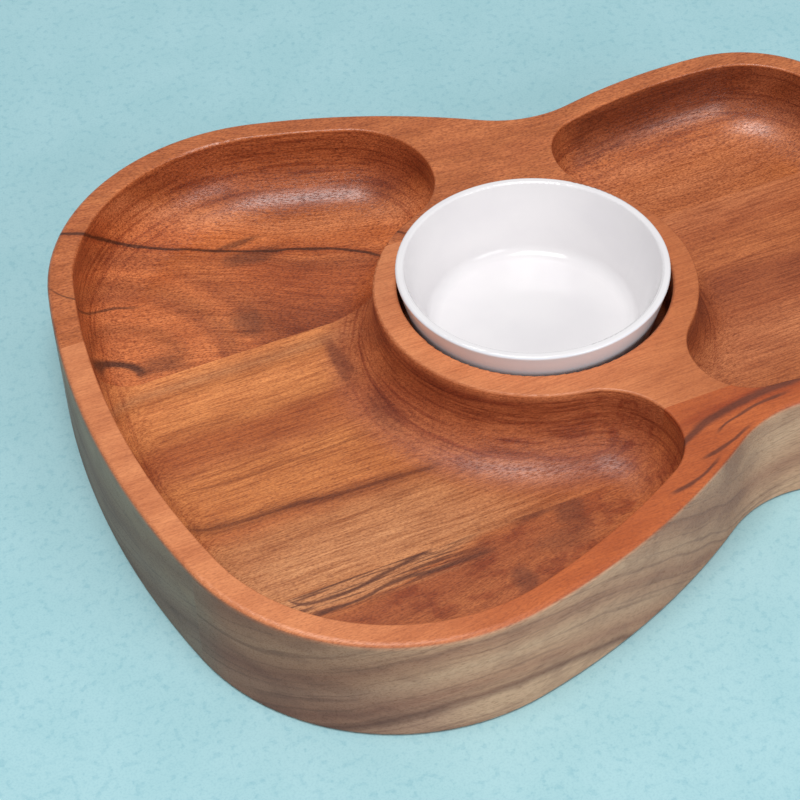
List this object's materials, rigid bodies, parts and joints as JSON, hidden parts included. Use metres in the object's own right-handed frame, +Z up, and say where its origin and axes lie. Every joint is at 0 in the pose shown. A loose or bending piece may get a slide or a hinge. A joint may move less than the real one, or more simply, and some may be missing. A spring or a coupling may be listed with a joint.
{
  "type": "chip and dip server",
  "caption": "Guitar-shaped wooden serving board, glued up from staves, with a deep chip recess on each side of a round well that holds a loose white ceramic dip bowl.",
  "frame": {"origin": "centre of the board's outline on its flat underside", "axes": "+X along the grain from the wide end to the narrow end, +Y across the grain to the far side, +Z up"},
  "size_m": [0.3936, 0.3221, 0.062],
  "materials": {
    "far_stave_wood": "oiled, satin, red-brown heartwood",
    "middle_stave_wood": "oiled, satin, golden brown",
    "near_stave_wood": "oiled, satin, red-brown with dark streaks",
    "bowl_glaze": "glossy white glaze"
  },
  "bodies": {
    "board": {"far_stave": "far_stave_wood", "middle_stave": "middle_stave_wood", "near_stave": "near_stave_wood"},
    "dip_bowl": {"dip_bowl": "bowl_glaze"}
  },
  "joints": [
    {"name": "bowl_lift", "type": "slide", "parent": "board", "child": "dip_bowl", "axis": [0, 0, 1], "range_m": [0, 0.06]}
  ]
}
